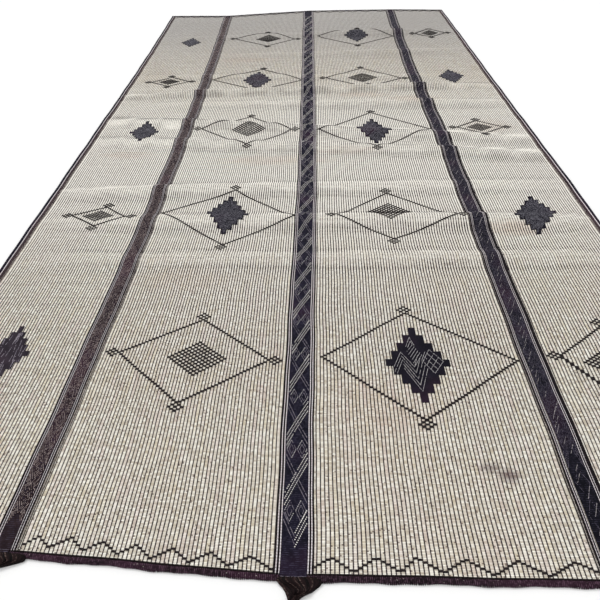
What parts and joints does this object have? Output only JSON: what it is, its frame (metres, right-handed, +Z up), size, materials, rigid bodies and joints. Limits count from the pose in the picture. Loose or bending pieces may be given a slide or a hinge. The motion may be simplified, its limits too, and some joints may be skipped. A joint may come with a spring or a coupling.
{
  "type": "tuareg mat",
  "caption": "Large floor mat of fine reeds bound with leather thongs, with lengthwise leather bands, stepped leather patches, rolled leather edges and gathered tassels.",
  "frame": {"origin": "on the floor, at the middle of the bounding box", "axes": "+X across the mat, +Y along it away from the tasselled end, +Z up from the floor"},
  "size_m": [2.984, 5.6816, 0.0419],
  "materials": {
    "reed": "split reed, matt, bound with dark thongs",
    "band_leather": "dark leather with pale line-work",
    "edge_leather": "dark blue-black rolled leather",
    "patch_leather": "dark leather with fine pale lines",
    "binding_leather": "dark brown wrapped leather",
    "tassel_leather": "dark brown leather strands"
  },
  "bodies": {
    "root": {"reed_field": "reed", "band_left": "band_leather", "band_centre": "band_leather", "band_right": "band_leather", "edge_left": "edge_leather", "edge_right": "edge_leather", "binding_near": "binding_leather", "binding_far": "binding_leather", "tassel_left": "tassel_leather", "tassel_centre": "tassel_leather", "tassel_right": "tassel_leather", "patch_1_outer_left": "patch_leather", "patch_1_inner_right": "patch_leather", "patch_2_inner_left": "patch_leather", "patch_2_outer_right": "patch_leather", "patch_3_outer_left": "patch_leather", "patch_3_inner_right": "patch_leather", "patch_4_inner_left": "patch_leather", "patch_4_outer_right": "patch_leather", "patch_5_outer_left": "patch_leather", "patch_5_inner_right": "patch_leather"}
  },
  "joints": []
}
